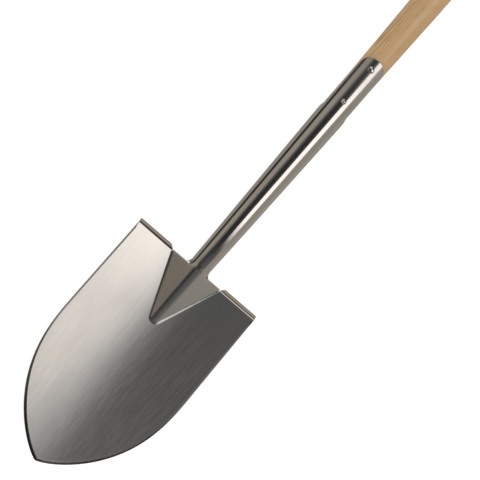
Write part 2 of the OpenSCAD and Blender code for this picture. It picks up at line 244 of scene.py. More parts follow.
def thick_sheet(front, back, faces, bulge):
    """Closed solid between two skins that share `faces`, with a rounded rim between them."""
    front, back = np.array(front), np.array(back)
    n = len(front)
    points = [front, back]
    solid = [list(f) for f in faces] + [[v + n for v in reversed(f)] for f in faces]
    count = {}
    for f in faces:
        for a, b in zip(f, f[1:] + f[:1]):
            count[(a, b)] = f
    rim = [(a, b) for (a, b) in count if (b, a) not in count]
    out = np.zeros((n, 3))
    for a, b in rim:
        along = front[b] - front[a]
        through = (front[a] - back[a]) + (front[b] - back[b])
        away = np.cross(along, through)
        inside = front[count[(a, b)]].mean(0) - (front[a] + front[b]) / 2
        away *= -1 if away @ inside > 0 else 1
        out[a] += away / (np.linalg.norm(away) + TINY)
        out[b] += away / (np.linalg.norm(away) + TINY)
    out /= np.linalg.norm(out, axis=1, keepdims=True) + TINY
    rings = [0]
    for t, share in RIM_RINGS:
        rings.append(n * len(points))
        points.append(mix(front, back, t) + out * bulge * share)
    rings.append(n)
    for a, b in rim:
        for r0, r1 in zip(rings[:-1], rings[1:]):
            solid.append([b + r0, a + r0, a + r1, b + r1])
    points = np.concatenate(points)
    used = sorted({v for f in solid for v in f})
    place = {v: k for k, v in enumerate(used)}
    return points[used], [[place[v] for v in f] for f in solid]


def ring_faces(rings, sides, base=0):
    """Quads between rings of `sides` points each, the first of which starts at `base`."""
    out = []
    for a in range(base, base + (rings - 1) * sides, sides):
        for k in range(sides):
            n = (k + 1) % sides
            out.append([a + k, a + n, a + sides + n, a + sides + k])
    return out


def lathe(profile, turns, axis, centre):
    """Round solid from (along, radius) pairs about X, Y or Z through `centre`."""
    points = []
    for along, r in profile:
        for k in range(turns):
            a = 2 * math.pi * k / turns
            p = (along, r * math.cos(a), r * math.sin(a))
            points.append(np.add([p[i] for i in AXIS_ORDER[axis]], centre))
    return points, ring_faces(len(profile), turns)


def there_and_back(half):
    """Whole profile from the half on the positive side."""
    return [(-a, r) for a, r in reversed(half)] + half


def tube(path, radii, sides):
    """Closed tube along a path, with a radius at each of its points."""
    path = np.array(path)
    points = []
    for i, p in enumerate(path):
        along = path[min(i + 1, len(path) - 1)] - path[max(i - 1, 0)]
        along /= np.linalg.norm(along)
        side = np.cross((0, 0, 1), along)
        side /= np.linalg.norm(side)
        up = np.cross(along, side)
        for k in range(sides):
            a = 2 * math.pi * k / sides
            points.append(p + radii[i] * (side * math.cos(a) + up * math.sin(a)))
    faces = ring_faces(len(path), sides)
    faces.append(list(range(sides)))
    faces.append([(len(path) - 1) * sides + k for k in range(sides)])
    return points, faces


# ---------------------------------------------------------------- materials
# Name of the point attribute that carries the painted shade on the ground edge
EDGE_SHADE_MARK = "ground_edge"
ASH_PALE, ASH_DEEP = (0.58, 0.38, 0.18), (0.32, 0.175, 0.07)
CROSS_GRAIN, LAYERS_PER_M = 20.0, 520.0


def nodes_of(name):
    material = bpy.data.materials.new(name)
    material.use_nodes = True
    tree = material.node_tree
    return material, tree, tree.nodes["Principled BSDF"]


def add(tree, kind, **values):
    node = tree.nodes.new(kind)
    for key, value in values.items():
        if key[0].isupper():
            node.inputs[key.replace("_", " ")].default_value = value
        else:
            setattr(node, key, value)
    return node


def ramp(tree, source, stops):
    """Colours at (place, colour) stops along a value of 0..1."""
    node = tree.nodes.new("ShaderNodeValToRGB")
    elements = node.color_ramp.elements
    while len(elements) > 1:
        elements.remove(elements[0])
    elements[0].position = stops[0][0]
    elements[0].color = (*stops[0][1], 1)
    for place, colour in stops[1:]:
        elements.new(place).color = (*colour, 1)
    tree.links.new(source, node.inputs[0])
    return node.outputs["Color"]


def axes(tree, kind="Object"):
    """X, Y and Z of the shaded point in the object's own metres, or of another coordinate."""
    coords = add(tree, "ShaderNodeTexCoord")
    split = add(tree, "ShaderNodeSeparateXYZ")
    tree.links.new(coords.outputs[kind], split.inputs["Vector"])
    return split.outputs


def stretched_noise(tree, scale, detail=3.0, rough=0.5, distort=0.0, place=(0, 0, 0)):
    """Noise in the object's own metres, with a scale for each axis."""
    coords = add(tree, "ShaderNodeTexCoord")
    mapping = add(tree, "ShaderNodeMapping")
    mapping.inputs["Scale"].default_value = scale
    mapping.inputs["Location"].default_value = place
    tree.links.new(coords.outputs["Object"], mapping.inputs["Vector"])
    noise = add(tree, "ShaderNodeTexNoise", Scale=1.0, Detail=detail, Roughness=rough,
                Distortion=distort)
    tree.links.new(mapping.outputs["Vector"], noise.inputs["Vector"])
    return noise.outputs["Fac"]


def to_range(tree, source, a, b, c, d):
    node = add(tree, "ShaderNodeMapRange", From_Min=a, From_Max=b, To_Min=c, To_Max=d)
    tree.links.new(source, node.inputs["Value"])
    return node.outputs["Result"]


def spread(tree, noise):
    """Stretches the middle of a noise, where most of it lies, to 0..1."""
    return to_range(tree, noise, 0.3, 0.7, 0, 1)


def math_node(tree, kind, a, b=0.0):
    node = add(tree, "ShaderNodeMath", operation=kind)
    for k, v in enumerate((a, b)):
        if isinstance(v, (int, float)):
            node.inputs[k].default_value = v
        else:
            tree.links.new(v, node.inputs[k])
    return node.outputs[0]


def plus(tree, a, b):
    return math_node(tree, "ADD", a, b)


def times(tree, a, b):
    return math_node(tree, "MULTIPLY", a, b)


def blend_colour(tree, factor, a, b, kind="MIX"):
    node = add(tree, "ShaderNodeMix", data_type="RGBA", blend_type=kind)
    for socket, v in ((node.inputs[0], factor), (node.inputs[6], a), (node.inputs[7], b)):
        if hasattr(v, "links"):
            tree.links.new(v, socket)
        else:
            socket.default_value = v if isinstance(v, float) else (*v, 1)
    return node.outputs[2]


def bumped(tree, shader, *layers):
    """Adds (height, strength, distance) layers of bump, each on top of the one before."""
    before = None
    for height, strength, distance in layers:
        bump = add(tree, "ShaderNodeBump", Strength=strength, Distance=distance)
        tree.links.new(height, bump.inputs["Height"])
        if before:
            tree.links.new(before, bump.inputs["Normal"])
        before = bump.outputs["Normal"]
    tree.links.new(before, shader.inputs["Normal"])


def metal(name):
    material, tree, shader = nodes_of(name)
    shader.inputs["Metallic"].default_value = 1
    return material, tree, shader


def pressed_steel():
    """Satin stainless on the blade that turns into polished steel along the socket."""
    material, tree, shader = metal("pressed_stainless")
    along = axes(tree)["X"]

    def run(start, end, top):
        return to_range(tree, along, (SHIFT_X + start) * MM, (SHIFT_X + end) * MM, 0, top)

    polish = run(NOSE_X, FOLD_X + 25, 1)
    worn = run(CLOSED_LEN + 10, STRAP_END - 30, 0.07)
    streaks = stretched_noise(tree, (7, 260, 260), 3, 0.55)
    streak = spread(tree, streaks)
    cloud = spread(tree, stretched_noise(tree, (9, 26, 26), 3, 0.55, 0.4))

    # Colour: brushed satin with clouds, bright socket, and painted shade that darkens the ground edge
    satin = blend_colour(tree, streak, (0.59, 0.58, 0.565), (0.68, 0.67, 0.655))
    satin = blend_colour(tree, times(tree, cloud, 0.7), satin, (0.54, 0.535, 0.525))
    bright = blend_colour(tree, cloud, (0.66, 0.65, 0.63), (0.70, 0.69, 0.68))
    # Painted shade: near-black steel laid on the ground edge, where the edge shows dark
    edge_shade = blend_colour(tree, streak, (0.13, 0.11, 0.095), (0.22, 0.19, 0.165))
    edge = add(tree, "ShaderNodeAttribute", attribute_name=EDGE_SHADE_MARK).outputs["Fac"]
    colour = blend_colour(tree, polish, satin, bright)
    tree.links.new(blend_colour(tree, edge, colour, edge_shade), shader.inputs["Base Color"])

    # Roughness: satin to polished, and worn again on the strap
    rough = plus(tree, times(tree, streak, 0.04), 0.20)
    rough = plus(tree, rough, times(tree, cloud, 0.03))
    glossy = plus(tree, times(tree, cloud, 0.03), 0.10)
    level = add(tree, "ShaderNodeMix", data_type="FLOAT")
    for k, value in ((0, polish), (2, rough), (3, glossy)):
        tree.links.new(value, level.inputs[k])
    tree.links.new(plus(tree, level.outputs[0], worn), shader.inputs["Roughness"])

    smears = stretched_noise(tree, (5, 34, 34), 2, 0.5, 0.3)
    dents = times(tree, stretched_noise(tree, (32, 60, 60), 2, 0.5), polish)
    fine = stretched_noise(tree, (30, 1900, 1900), 2, 0.5)
    bumped(tree, shader, (smears, 0.3, 0.0004), (dents, 0.25, 0.0003),
           (streaks, 0.04, 0.0003), (fine, 0.01, 0.00005))
    return material


def polished_steel(name, colour, roughness):
    material, tree, shader = metal(name)
    cloud = spread(tree, stretched_noise(tree, (60, 90, 90), 3, 0.55, 0.5))
    dull = tuple(0.88 * c for c in colour)
    tree.links.new(blend_colour(tree, cloud, colour, dull), shader.inputs["Base Color"])
    rough = plus(tree, times(tree, cloud, 0.07), roughness)
    tree.links.new(rough, shader.inputs["Roughness"])
    bumped(tree, shader, (stretched_noise(tree, (900, 900, 900), 2, 0.5), 0.08, 0.00005))
    return material


def weld_steel():
    """Straw and blue-grey heat tint on a brushed weld."""
    material, tree, shader = metal("weld_bead")
    tint = stretched_noise(tree, (120, 120, 120), 3, 0.6, 0.6)
    colour = ramp(tree, tint, ((0.30, (0.36, 0.34, 0.33)), (0.48, (0.52, 0.47, 0.40)),
                               (0.62, (0.56, 0.54, 0.52)), (0.75, (0.40, 0.41, 0.45))))
    tree.links.new(colour, shader.inputs["Base Color"])
    tree.links.new(to_range(tree, tint, 0.3, 0.7, 0.32, 0.5), shader.inputs["Roughness"])
    bumped(tree, shader, (stretched_noise(tree, (1500, 1500, 1500), 3, 0.6), 0.3, 0.0001))
    return material


def ash_wood(name, grain, seed):
    """Oiled ash. `grain` is 0 for grain along X, 1 for grain along Y."""
    material, tree, shader = nodes_of(name)
    scale = [CROSS_GRAIN] * 3
    scale[grain] = 1.0

    def stretched(k, detail, rough):
        return stretched_noise(tree, [s * k for s in scale], detail, rough,
                               place=(seed, seed * 0.7, seed * 1.3))

    # Growth layers: nearly flat sheets through the bar, bowed and a little wavy
    point = axes(tree)
    across = point["Y" if grain == 0 else "X"]
    bow = times(tree, times(tree, across, across), 9.0)
    layer = plus(tree, times(tree, point["Z"], 0.55), bow)
    layer = plus(tree, layer, times(tree, across, 0.75))
    layer = plus(tree, times(tree, layer, LAYERS_PER_M), times(tree, stretched(1.2, 3, 0.5), 3.0))
    late = ramp(tree, math_node(tree, "FRACT", layer), (
        (0.0, (1, 1, 1)), (0.12, (0.55, 0.55, 0.55)), (0.5, (0.1, 0.1, 0.1)),
        (0.9, (0.0, 0.0, 0.0)), (1.0, (0.9, 0.9, 0.9))))
    rings = times(tree, late, 0.8)

    # Colour: pale patches, dark late wood, fibres, and pores that open along the rings
    fibre = spread(tree, stretched(28.0, 3, 0.6))
    pores = to_range(tree, stretched(60.0, 2, 0.5), 0.60, 0.70, 0, 1)
    patch = spread(tree, stretched(2.2, 2, 0.5))
    warmer = tuple(mix(a, b, 0.35) for a, b in zip(ASH_PALE, ASH_DEEP))
    colour = blend_colour(tree, patch, ASH_PALE, warmer)
    colour = blend_colour(tree, rings, colour, ASH_DEEP)
    colour = blend_colour(tree, times(tree, fibre, 0.4), colour, ASH_DEEP)
    pore = times(tree, pores, plus(tree, rings, 0.25))
    colour = blend_colour(tree, pore, colour, tuple(0.55 * c for c in ASH_DEEP))
    tree.links.new(colour, shader.inputs["Base Color"])
    tree.links.new(to_range(tree, fibre, 0, 1, 0.42, 0.54), shader.inputs["Roughness"])
    shader.inputs["Coat Weight"].default_value = 1.0
    shader.inputs["Coat Roughness"].default_value = 0.25
    bumped(tree, shader, (fibre, 0.12, 0.0002), (pores, 0.25, -0.0002))
    return material


def dark_wood():
    material, tree, shader = nodes_of("wedge_hardwood")
    fibre = spread(tree, stretched_noise(tree, (60, 900, 900), 3, 0.6))
    tree.links.new(blend_colour(tree, fibre, (0.10, 0.045, 0.02), (0.20, 0.10, 0.045)),
                   shader.inputs["Base Color"])
    tree.links.new(to_range(tree, fibre, 0, 1, 0.4, 0.6), shader.inputs["Roughness"])
    bumped(tree, shader, (fibre, 0.3, 0.0001))
    return material


steel = pressed_steel()
rear_steel = polished_steel("rear_stainless", (0.70, 0.69, 0.67), 0.20)
weld = weld_steel()
rivet_steel = polished_steel("rivet_stainless", (0.78, 0.77, 0.76), 0.12)
ash = ash_wood("ash_shaft", 0, 0.0)
ash_bar = ash_wood("ash_grip", 1, 3.1)
wedge = dark_wood()

# ---------------------------------------------------------------- blade, front socket and strap
# Half a row of the sheet has the columns of the crest's round, of the part of a face that runs
# into the socket, of the rest of the face, of its foot, of the wing, and of the ground edge.
ARC_COLS, NECK_COLS, FACE_COLS, FOOT_COLS, WING_COLS = 8, 14, 10, 12, 34
NECK_END = ARC_COLS + NECK_COLS
WING_END = NECK_END + FACE_COLS + FOOT_COLS + WING_COLS
SLOT = NECK_END + FACE_COLS + FOOT_COLS // 2
TREAD_COL = SLOT + 2
FOOT_HALF, LEAST_V, NOTCH_REACH = 2.6, 3.2, 0.37

# Places across the ground edge, in widths of it from the outline, and the slope it is ground to
RIM_SHARES = (1.5, 1.25, 1.1, 1.03, 0.97, 0.9, 0.72, 0.5, 0.25, 0.0)
POINT_GRIND, SIDE_GRIND = 3.3, 1.7
GROUND, GROUND_SOFT = math.tan(rad(17)), 0.02

# Rows fan out from one place up to the point, and lie straight across from there to the treads
FAN_X, FAN_ROWS, FAN_POWER = NOSE_X - 14, 110, 1.9

# Rows round the tread's fold and down it, and the share of its slant that is in the fold
FOLD_STEPS, DEPTH_STEPS, FOLD_SLANT = 14, 6, 0.25

# How far the sheet's rim bulges, and the step on which slopes are measured
BULGE, STEP = 0.3, 0.04

# The painted shade on the ground edge: its share of the ground edge, its soft border, how much of it
# fades, and the place along X from which it fades towards the treads
EDGE_SHADE_SHARE, EDGE_SHADE_BLEND, SIDE_LOSS, EDGE_SHADE_FULL_X = 0.55, 0.35, 0.6, -215.0


def grind_width(x):
    """Width of the ground edge: narrow along the sides, wide round the point."""
    return mix(POINT_GRIND, SIDE_GRIND, ease((x - TIP_X - 35) / 110))


def row_columns(x):
    """Places across half of the blade in a straight row at x."""
    v = max(float(v_half(x)), LEAST_V)
    edge = min(float(crest_r(x)) * math.sin(SLOPE), 0.6 * v)
    inner = float(blade_half(x)) - RIM_SHARES[0] * float(grind_width(x))
    cut = mix(edge, v, NOTCH_REACH)
    foot = max(v - FOOT_HALF, cut + 0.2)
    raised = np.concatenate([
        edge * np.sin(SLOPE * np.linspace(0, 1, ARC_COLS + 1)) / math.sin(SLOPE),
        np.linspace(edge, cut, NECK_COLS + 1)[1:],
        np.linspace(cut, foot, FACE_COLS + 1)[1:],
        np.linspace(foot, v + FOOT_HALF, FOOT_COLS + 1)[1:],
        np.linspace(v + FOOT_HALF, inner, WING_COLS + 1)[1:]])
    even = np.linspace(0, inner, WING_END + 1)
    return mix(raised, even, float(ease((NOSE_X - 1 - x) / 12)))


def skins(x, y, drop):
    """Front and back of the sheet at x, y, where the ground edge takes `drop` off the front."""
    z = face(x, y)
    dx = (face(x + STEP, y) - face(x - STEP, y)) / (2 * STEP)
    dy = (face(x, y + STEP) - face(x, y - STEP)) / (2 * STEP)
    normal = np.stack([-dx, -dy, np.ones_like(z)], -1)
    normal /= np.linalg.norm(normal, axis=-1, keepdims=True)
    front = np.stack([x, y, z], -1)
    return front - drop[..., None] * (0, 0, 1), front - SHEET * normal


def ground(distance, width, fade):
    """How deep the ground edge cuts at a distance from the outline."""
    t = width - distance
    return fade * GROUND * 0.5 * (t + np.sqrt(t * t + GROUND_SOFT))


def fan_rows():
    """Half rows (x, y, drop) that fan out from FAN_X to the curved point."""
    rows = []
    origin = np.array([FAN_X, 0.0])
    reach = FAN_X - TIP_X
    for k in range(FAN_ROWS + 1):
        u = (k / FAN_ROWS) ** FAN_POWER
        x = TIP_X + reach * u
        rim = np.array([x, float(blade_half(x))])
        e = 0.01 + 0.02 * u
        ahead = np.array([x + e, float(blade_half(x + e))]) - rim
        outward = np.array([-ahead[1], ahead[0]]) / np.linalg.norm(ahead)
        if k == 0:
            outward = np.array([-1.0, 0.0])
        ray = rim - origin
        length = np.linalg.norm(ray)
        lean = max(0.5, float(ray @ outward) / length)
        width = float(grind_width(x))
        inner = length - RIM_SHARES[0] * width / lean
        along = np.concatenate([np.linspace(0, inner, WING_END + 1),
                                [length - s * width / lean for s in RIM_SHARES[1:]]])
        p = origin + np.outer(along / length, ray)
        rows.append((p[:, 0], p[:, 1], ground((length - along) * lean, width, 1.0)))
    return rows


def straight_rows():
    """Half rows (x, y, drop) straight across, close together at the V's nose and the fold."""
    rows = []
    stops = np.concatenate([
        np.linspace(FAN_X, NOSE_X - 2, 15)[1:], np.arange(NOSE_X - 1.6, NOSE_X + 10, 0.4),
        np.linspace(NOSE_X + 10.5, FOLD_X - 8, 44), np.linspace(FOLD_X - 7, FOLD_X, 8)])
    for x in map(float, stops):
        width = float(grind_width(x))
        half = float(blade_half(x))
        y = np.concatenate([row_columns(x), [half - s * width for s in RIM_SHARES[1:]]])
        fade = float(ease((FOLD_X - x) / 9))
        rows.append((np.full_like(y, x), y, ground(half - y, width, fade)))
    return rows


def neck_section(x, q):
    """Half section through the neck, socket and strap at column q: (y, z)."""
    turn = q / ARC_COLS
    out = np.clip((q - ARC_COLS) / NECK_COLS, 0, 1)
    r, c, v = crest_r(x), crest_centre(x), v_half(x)
    edge = r * math.sin(SLOPE)
    far = edge + NOTCH_REACH * out * (v - edge)
    angle = SLOPE * np.minimum(turn, 1)
    a = (np.where(turn < 1, r * np.sin(angle), far),
         c + r * np.cos(angle) - (far - edge) * math.tan(SLOPE) * (turn >= 1))
    big, last = socket_r(x), edge_angle(x)
    share = SLOPE / (math.pi / 2 - math.asin(SEAM_HALF / NECK_R))
    swing = last * np.where(turn < 1, share * turn, mix(share, 1, out))
    b = (big * np.sin(swing), axis_z(x) + big * np.cos(swing))
    u = notch_run(x)
    return mix(a[0], b[0], u), mix(a[1], b[1], u)


def neck_stops():
    """Rows from the notch's edge along the socket to the strap's round end."""
    stops = [NOTCH_X]
    stops += [NOTCH_X + (ROUND_X - NOTCH_X) * (k / 16) ** 1.5 for k in range(1, 17)]
    stops += list(np.linspace(ROUND_X, BEND_X, 25)[1:])
    stops += list(np.linspace(BEND_X, CLOSED_LEN, 30)[1:])
    stops += list(CLOSED_LEN + SHOULDER * np.linspace(0, 1, 17)[1:])
    stops += list(np.linspace(CLOSED_LEN + SHOULDER, STRAP_END - ARCH_LEN, 14)[1:])
    stops += [STRAP_END - ARCH_LEN + ARCH_LEN * math.sin(rad(a)) for a in range(4, 88, 4)]
    stops += [STRAP_END - ARCH_LEN + ARCH_LEN * math.sin(rad(a)) for a in (86.5, 88.2)]
    return np.array(stops)


class Skins:
    """Matching points on the front and the back of the sheet."""

    def __init__(self):
        self.front, self.back = [], []

    def keep(self, front, back):
        self.front.append(front)
        self.back.append(back)
        return len(self.front) - 1

    def both_halves(self, front, back):
        """Numbers of half a row and of its mirror image, which share the centre's point."""
        right = [self.keep(f, b) for f, b in zip(front, back)]
        left = [self.keep(f * MIRROR, b * MIRROR) for f, b in zip(front[1:], back[1:])]
        return right, right[:1] + left


def whole(right, left):
    return list(reversed(left[1:])) + right


def neck_normal(x, y, z, q):
    """Outward normals of a half row of the neck, socket or strap."""
    if x >= BEND_X:
        return np.stack([np.full_like(y, -TAPER), y / socket_r(x), (z - axis_z(x)) / socket_r(x)], -1)
    e = 0.03
    ya, za = neck_section(x + e, q)
    yb, zb = neck_section(x - e, q)
    y1, z1 = neck_section(x, np.minimum(q + e, NECK_END))
    y0, z0 = neck_section(x, np.maximum(q - e, -e))
    y0, z0 = np.where(q < e, -y1, y0), np.where(q < e, z1, z0)
    s = np.stack([np.full_like(y, 2 * e), ya - yb, za - zb], -1)
    t = np.stack([np.zeros_like(y), y1 - y0, z1 - z0], -1)
    normal = np.cross(s, t)
    if x < ROUND_X:
        normal *= np.sign(normal[:, 2:3] + 1e-6 * y[:, None])
    flip = (normal[:, 1] * y + normal[:, 2] * (z - axis_z(x))) < 0
    normal[flip] *= -1
    return normal


def neck_half(x, q):
    """Front and back points of half a row of the neck, socket or strap."""
    y, z = neck_section(x, q)
    normal = neck_normal(x, y, z, q)
    normal /= np.linalg.norm(normal, axis=1, keepdims=True)
    front = np.stack([np.full_like(y, x), y, z], -1)
    back = front - SHEET * normal
    back[0, 1] = 0
    return front, back


def tread_rows(kept, fold_ids, side):
    """A wing's columns carried round the fold and down, with a slanted inner end."""
    x, y, _ = straight_rows()[-1]
    z = face(x, y)
    slope = (face(x, y + STEP) - face(x, y - STEP)) / (2 * STEP)
    steps = [(mix(LIFT, TREAD_FOLD, k / FOLD_STEPS), 0.0, FOLD_SLANT * k / FOLD_STEPS)
             for k in range(1, FOLD_STEPS + 1)]
    steps += [(TREAD_FOLD, TREAD_DEPTH * k / DEPTH_STEPS, mix(FOLD_SLANT, 1, k / DEPTH_STEPS))
              for k in range(1, DEPTH_STEPS + 1)]
    rows = [fold_ids[TREAD_COL:]]
    for turn, run, slant in steps:
        row = []
        for k in range(TREAD_COL, len(y)):
            n = np.array([math.sin(turn), -slope[k], math.cos(turn)])
            n /= np.linalg.norm(n)
            inner = (y[-1] - y[k]) / (y[-1] - y[TREAD_COL])
            p = np.array([
                FOLD_X + FOLD_R * (math.sin(turn) - math.sin(LIFT)) + run * math.cos(turn),
                y[k] + TREAD_SLANT * slant * inner,
                z[k] + FOLD_R * (math.cos(turn) - math.cos(LIFT)) - run * math.sin(turn)])
            row.append(kept.keep(p * (1, side, 1), (p - SHEET * n) * (1, side, 1)))
        rows.append(row)
    return rows if side == 1 else [list(reversed(r)) for r in rows]


def build_pressed_sheet():
    kept = Skins()
    blade = [kept.both_halves(*skins(x, y, drop)) for x, y, drop in fan_rows() + straight_rows()]
    patches = [[whole(right, left) for right, left in blade]]

    # The short run from the fold to the notch's edge, then neck, socket and strap
    fold_right, fold_left = blade[-1]
    x = np.full(SLOT + 1, NOTCH_X)
    y = row_columns(NOTCH_X)[:SLOT + 1]
    right, left = kept.both_halves(*skins(x, y, np.zeros(SLOT + 1)))
    patches.append([whole(fold_right[:SLOT + 1], fold_left[:SLOT + 1]), whole(right, left)])
    q = np.arange(NECK_END + 1.0)
    neck = [whole(right[:NECK_END + 1], left[:NECK_END + 1])]
    neck += [whole(*kept.both_halves(*neck_half(x, q))) for x in neck_stops()[1:]]
    patches.append(neck)

    patches += [tread_rows(kept, ids, side) for side, ids in ((1, fold_right), (-1, fold_left))]
    return thick_sheet(kept.front, kept.back, sheet_faces(patches), BULGE)


def paint_edge_shade(obj):
    """Stores the painted shade on the ground edge at each point: darkest round the point of the
    blade.
    """
    marks = obj.data.attributes.new(EDGE_SHADE_MARK, "FLOAT", "POINT")
    p = np.array([v.co for v in obj.data.vertices]) / MM - (SHIFT_X, 0, SHIFT_Z)
    x, e = p[:, 0], 0.5
    lean = (blade_half(x + e) - blade_half(x - e)) / (2 * e)
    inward = (blade_half(x) - np.abs(p[:, 1])) / np.sqrt(1 + lean * lean)
    # Painted shade: full on the outer part of the ground edge, weaker along the sides, none at the
    # treads
    edge_shade = 1 - ease((inward / grind_width(x) - EDGE_SHADE_SHARE) / EDGE_SHADE_BLEND)
    weaker = SIDE_LOSS * ease((x - EDGE_SHADE_FULL_X) / 50)
    dark = edge_shade * ease((FOLD_X - x) / 3) * (1 - weaker)
    marks.data.foreach_set("value", dark.astype(np.float32))


paint_edge_shade(new_object("pressed_blade", *build_pressed_sheet(), steel, "blade", "blade_steel"))


# ---------------------------------------------------------------- rear socket and plate
REAR_BULGE, REAR_COLS = 0.25, 57


def plate_side(x):
    return SIDE_SLOPE * (x - NOSE_X) + NOSE_HALF + PLATE_LIP


def plate_half(x):
    end = root(1 - (np.maximum(PLATE_NOSE - x, 0) / PLATE_NOSE_LEN) ** 2)
    return plate_side(np.maximum(x, PLATE_NOSE)) * end


def under_front(x, y):
    """Underside of the pressed sheet over the rear sheet's edge."""
    foot = v_half(x) - SHEET * math.tan(SLOPE / 2)
    base = hollow(x, v_half(x)) - SHEET
    return np.where((x > NOSE_X + 1) & (y < foot), base + (foot - y) * math.tan(SLOPE),
                    hollow(x, y, SHEET))


def rear_row(x, v, deep):
    """A row of the rear sheet, `deep` inside its outer face, with v of -1..1 across it."""
    u = ease((PLATE_IN - x) / (PLATE_IN - PLATE_FLAT))
    last = edge_angle(x)
    r = socket_r(x) - deep
    edge_y = mix(r * np.sin(last), plate_half(x), u)
    flat = (SHEET - deep) * ease((PLATE_IN - x) / THINNING)
    at_notch = min(x, NOTCH_X)
    hidden = mix(under_front(at_notch, edge_y) - CLEAR - flat, axis_z(x) - SEAM_HALF,
                 notch_run(x) if x > NOTCH_X else 0)
    edge_z = hidden if x < ROUND_X else axis_z(x) - r * np.cos(last)
    middle = mix(axis_z(x) - r, hollow(x, 0, SHEET) - CLEAR - SHEET + deep, u)
    y = edge_y * mix(np.sin(last * v) / np.sin(last), v, u)
    rise = mix((1 - np.cos(last * v)) / (1 - np.cos(last)), v * v, u)
    return np.stack([np.full_like(v, x), y, mix(middle, edge_z, rise)], -1)


def build_rear_sheet():
    stops = [PLATE_NOSE - PLATE_NOSE_LEN * math.sin(rad(a)) for a in range(85, 0, -5)]
    stops += list(np.linspace(PLATE_NOSE, PLATE_FLAT, 30))
    stops += list(np.linspace(PLATE_FLAT, ROUND_X, 60)[1:])
    stops += list(np.linspace(ROUND_X, BEND_X, 25)[1:])
    stops += [x for x in neck_stops() if x > BEND_X]
    v = np.linspace(-1, 1, REAR_COLS)
    inner = np.array([rear_row(float(x), v, SHEET) for x in stops])
    outer = np.array([rear_row(float(x), v, 0.0) for x in stops])
    grid = np.arange(len(stops) * REAR_COLS).reshape(-1, REAR_COLS).tolist()
    return thick_sheet(inner.reshape(-1, 3), outer.reshape(-1, 3), sheet_faces([grid]), REAR_BULGE)


new_object("rear_half", *build_rear_sheet(), rear_steel, "rear_socket", "socket_steel")


# ---------------------------------------------------------------- welds
WELD_SIDES = 14


def build_seam(side):
    """Flush seam weld with a faint ripple."""
    stops = np.concatenate([np.linspace(ROUND_X - 2, BEND_X, 70),
                            np.linspace(BEND_X, CLOSED_LEN, 140)[1:]])
    sunk, bead, ripple, end = 0.95, 1.05, 0.05, 0.4
    path = [(x, side * (float(socket_r(x)) - sunk), float(axis_z(x))) for x in stops]
    radii = [bead + ripple * math.sin(x * 3.1) for x in stops]
    radii[0] = radii[-1] = end
    return tube(path, radii, WELD_SIDES)


for side, name in ((1, "left"), (-1, "right")):
    new_object(name + "_seam", *build_seam(side), weld, name + "_seam_weld", "weld_steel")


def build_tail_bead():
    """Ripple bead round the rear plate's edge."""
    bead, ripple, pitch, end = 1.25, 0.09, 2.6, 0.5
    sides = np.linspace(PLATE_FLAT, PLATE_NOSE, 90)
    reach = PLATE_NOSE_LEN + bead + CLEAR

    def at(x, y):
        return (x, y, float(hollow(x, y, SHEET)) - bead * 0.8)

    half = [at(float(x), float(plate_side(x)) + bead + CLEAR) for x in sides]
    nose = [at(PLATE_NOSE - reach * math.sin(rad(a)),
               (float(plate_side(PLATE_NOSE)) + bead + CLEAR) * math.cos(rad(a)))
            for a in range(3, 178, 3)]
    other = [(x, -y, z) for x, y, z in reversed(half)]
    path = half + nose + other
    travelled, radii = 0.0, []
    for i, p in enumerate(path):
        travelled += math.dist(p, path[i - 1]) if i else 0
        radii.append(bead * (1 + ripple * math.sin(travelled * 2 * math.pi / pitch)))
    radii[0] = radii[-1] = end
    return tube(path, radii, WELD_SIDES)


new_object("tail_bead", *build_tail_bead(), weld, "tail_weld", "weld_steel")


# ---------------------------------------------------------------- rivets
def rivet_profile(x, head_r, head_h, dimple):
    """Profile of a rivet with the same head on the front and the back of the straps."""
    top = float(socket_r(x))
    rim = 0.35
    seat = top - 1.5
    half = [(0.0, RIVET_R), (seat, RIVET_R), (seat, head_r - 0.1), (top + 0.1, head_r),
            (top + rim * 0.7, head_r - 0.08)]
    if dimple:
        half += [(top + up, head_r - inside) for up, inside in (
            (0.75, 0.5), (0.85, 0.9), (0.62, 1.25), (0.3, 1.45), (0.32, 1.7), (0.75, 2.0),
            (0.92, 2.5))]
        return there_and_back(half + [(top + 0.95, AXIS_GAP)])
    for k in range(1, 12):
        a = k / 12 * math.pi / 2
        half.append((top + rim + (head_h - rim) * math.sin(a), (head_r - 0.25) * math.cos(a)))
    return there_and_back(half + [(top + head_h, AXIS_GAP)])


for name, x, head_r, head_h, dimple in (("lower", LOWER_RIVET_X, 3.4, 1.0, True),
                                        ("upper", UPPER_RIVET_X, 4.2, 1.9, False)):
    new_object(name + "_rivet_heads",
               *lathe(rivet_profile(x, head_r, head_h, dimple), 48, "Z", (x, 0, 0)),
               rivet_steel, name + "_rivet", "rivet_steel")


# ---------------------------------------------------------------- shaft, grip, wedge and pin
WOOD_TURNS = 96


def grip_radius(y):
    return mix(GRIP_R, GRIP_END_R, (abs(y) / (GRIP_LEN / 2)) ** 2)


